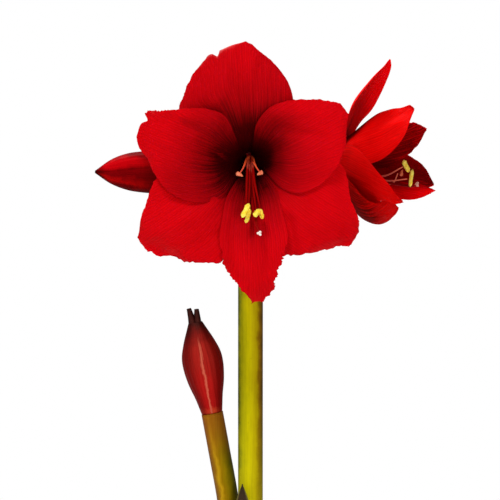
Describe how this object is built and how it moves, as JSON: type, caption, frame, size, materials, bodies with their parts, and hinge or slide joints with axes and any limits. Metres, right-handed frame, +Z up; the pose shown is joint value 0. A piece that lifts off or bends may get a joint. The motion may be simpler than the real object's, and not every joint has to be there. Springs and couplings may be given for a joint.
{
  "type": "potted amaryllis",
  "caption": "Potted amaryllis in flower: a tall scape with a wide red bloom, a half-open one and a bud, a shorter scape in bud, young leaves, and a bulb in a round clay pot.",
  "frame": {"origin": "middle of the pot's base, on the surface it stands on", "axes": "+Z up along the pot's axis; the open flower faces -Y and the half-open one leans to +X"},
  "size_m": [0.2741, 0.203, 0.6049],
  "materials": {
    "terracotta": "matte",
    "soil": "matte",
    "bulb_skin": "matte",
    "leaf": "satin",
    "scape": "satin",
    "stalk": "satin",
    "petal": "satin",
    "bud": "satin",
    "spathe": "satin",
    "dry_bract": "matte",
    "filament": "satin",
    "pollen": "matte"
  },
  "bodies": {
    "root": {"pot": "terracotta", "soil": "soil", "bulb": "bulb_skin", "leaf_front": "leaf", "leaf_right": "leaf", "leaf_back": "leaf", "leaf_left": "leaf", "scape_main": "scape", "scape_second": "scape", "spathe_bud": "spathe", "bract_left": "dry_bract", "bract_right": "dry_bract", "stalk_front": "stalk", "stalk_side": "stalk", "stalk_bud": "stalk", "bud": "bud", "front_tepal_top": "petal", "front_tepal_upper_left": "petal", "front_tepal_upper_right": "petal", "front_tepal_bottom": "petal", "front_tepal_lower_left": "petal", "front_tepal_lower_right": "petal", "side_tepal_top": "petal", "side_tepal_near_upper": "petal", "side_tepal_near_lower": "petal", "side_tepal_bottom": "petal", "side_tepal_far_lower": "petal", "side_tepal_far_upper": "petal", "front_filaments": "filament", "front_style": "filament", "front_anther_1": "pollen", "front_anther_2": "pollen", "front_anther_3": "pollen", "front_anther_4": "pollen", "front_anther_5": "pollen", "front_anther_6": "pollen", "side_filaments": "filament", "side_style": "filament", "side_anther_1": "pollen", "side_anther_2": "pollen", "side_anther_3": "pollen", "side_anther_4": "pollen", "side_anther_5": "pollen", "side_anther_6": "pollen"}
  },
  "joints": []
}
